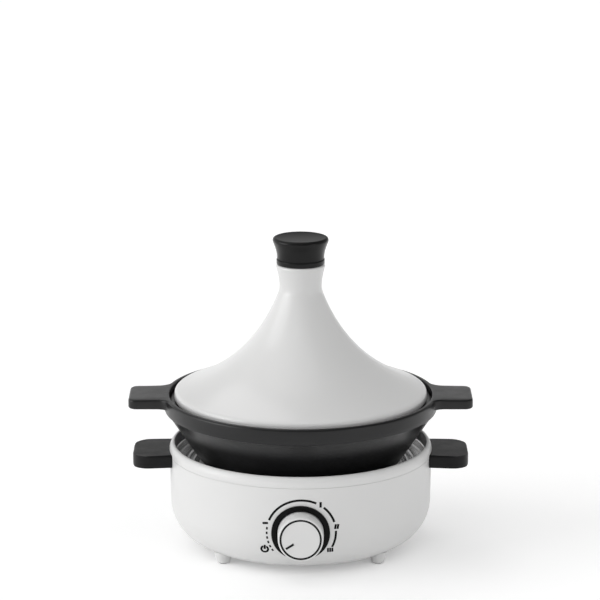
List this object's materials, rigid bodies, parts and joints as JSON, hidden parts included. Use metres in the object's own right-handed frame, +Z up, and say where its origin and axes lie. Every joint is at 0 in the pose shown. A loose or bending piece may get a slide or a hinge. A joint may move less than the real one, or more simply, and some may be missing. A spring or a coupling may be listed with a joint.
{
  "type": "electric tagine",
  "caption": "Round electric cooker with a dial on its heated base, an eared cast pot, a ribbed grill pan, a tall conical ceramic lid and a stopper in its neck.",
  "frame": {"origin": "on the table, on the common axis of the base, pot, pan and lid", "axes": "+Z up along that axis, -Y towards the dial, X along the handles"},
  "size_m": [0.3842, 0.3202, 0.3518],
  "materials": {
    "white_plastic": "moulded, soft gloss",
    "black_plastic": "moulded, satin",
    "black_gloss": "polished",
    "brown_plastic": "moulded",
    "white_glaze": "glossy glaze",
    "nonstick": "cast, with a satin black coating",
    "turned_aluminium": "turned rings",
    "stainless": "spun",
    "element_steel": "dark sheath",
    "zinc_steel": "zinc plated",
    "pin_brass": "plated",
    "steatite": "fired",
    "grey_rubber": "matte",
    "silicone": "matte",
    "brown_wire": "silicone sleeve",
    "red_wire": "silicone sleeve",
    "white_wire": "glass sleeve",
    "green_wire": "silicone sleeve"
  },
  "bodies": {
    "base": {"housing": "white_plastic", "rim_collar": "white_plastic", "well_liner": "stainless", "heating_plate": "turned_aluminium", "heating_element": "element_steel", "heat_shield": "stainless", "plate_spacers": "steatite", "plate_bolts": "zinc_steel", "thermal_fuse": "steatite", "fuse_clip": "zinc_steel", "bottom_cover": "white_plastic", "cover_screws": "zinc_steel", "feet": "white_plastic", "foot_pads": "grey_rubber", "handle_left": "black_plastic", "handle_right": "black_plastic", "handle_screws": "zinc_steel", "dial_bezel": "black_plastic", "thermostat_bracket": "zinc_steel", "thermostat_body": "brown_plastic", "thermostat_nut": "zinc_steel", "terminal_block": "steatite", "inlet_plate": "white_plastic", "inlet_socket": "black_plastic", "inlet_pins": "pin_brass", "supply_wires": "brown_wire", "control_wires": "red_wire", "element_wires": "white_wire", "earth_wire": "green_wire"},
    "dial": {"thermostat_shaft": "zinc_steel", "dial_knob": "white_plastic", "dial_ring": "black_plastic", "dial_pointer": "black_plastic"},
    "pot": {"pot": "nonstick"},
    "grill_pan": {"grill_pan": "nonstick"},
    "lid": {"lid": "white_glaze", "lid_neck": "white_glaze"},
    "stopper": {"stopper": "black_gloss", "stopper_seal": "silicone"}
  },
  "joints": [
    {"name": "dial_turn", "type": "hinge", "parent": "base", "child": "dial", "pos_m": [0, -0.15, 0.055], "axis": [0, 1, 0], "range_deg": [0, 241]},
    {"name": "pot_lift", "type": "slide", "parent": "base", "child": "pot", "axis": [0, 0, 1], "range_m": [0, 0.0328]},
    {"name": "pan_lift", "type": "slide", "parent": "pot", "child": "grill_pan", "axis": [0, 0, 1], "range_m": [0, 0.0873]},
    {"name": "lid_lift", "type": "slide", "parent": "grill_pan", "child": "lid", "axis": [0, 0, 1], "range_m": [0, 0.0522]},
    {"name": "stopper_lift", "type": "slide", "parent": "lid", "child": "stopper", "axis": [0, 0, 1], "range_m": [0, 0.0172]}
  ]
}
